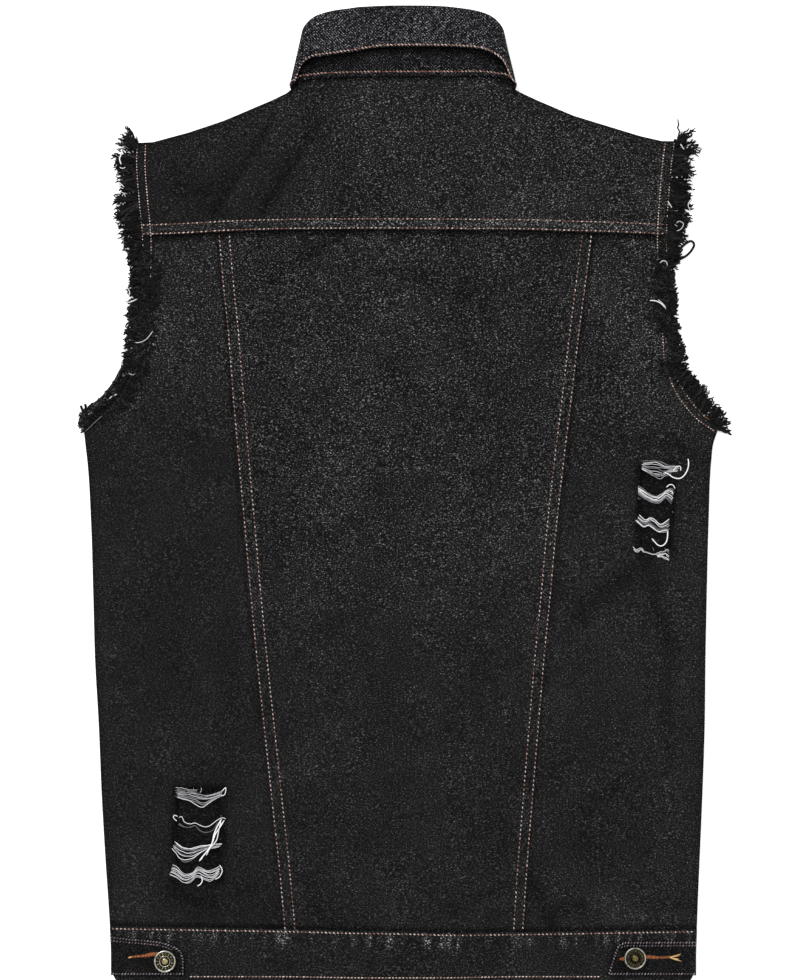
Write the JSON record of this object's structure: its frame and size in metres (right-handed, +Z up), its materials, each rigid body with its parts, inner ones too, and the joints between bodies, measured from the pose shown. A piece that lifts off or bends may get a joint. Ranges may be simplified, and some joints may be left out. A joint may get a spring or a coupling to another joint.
{
  "type": "denim vest",
  "caption": "Black denim vest with cut-off sleeves laid flat on its front: fold-over collar, back yoke, princess seams, frayed armholes, ripped patches and side adjuster tabs.",
  "frame": {"origin": "middle of the box around the vest, on the surface that it lies on", "axes": "+X to the right as seen from behind the garment, +Y from hem to collar, +Z up out of the back"},
  "size_m": [0.4971, 0.742, 0.0116],
  "materials": {
    "denim": "washed black twill, matt, with fine pale specks",
    "fray": "loose black and some white cotton threads",
    "button_metal": "aged brass with a nickel rim",
    "topstitch": "rust and cream cotton thread",
    "weft": "bare white weft threads in the rips"
  },
  "bodies": {
    "root": {"back_yoke": "denim", "centre_back": "denim", "side_back_left": "denim", "side_back_right": "denim", "front_left": "denim", "front_right": "denim", "placket": "denim", "collar": "denim", "waistband_back": "denim", "waistband_front_left": "denim", "waistband_front_right": "denim", "tab_left": "denim", "tab_right": "denim", "fray_back_left": "fray", "fray_back_right": "fray", "fray_front_left": "fray", "fray_front_right": "fray", "tab_button_left": "button_metal", "tab_button_right": "button_metal", "front_button_1": "button_metal", "front_button_2": "button_metal", "front_button_3": "button_metal", "front_button_4": "button_metal", "front_button_5": "button_metal", "front_button_6": "button_metal"}
  },
  "joints": []
}
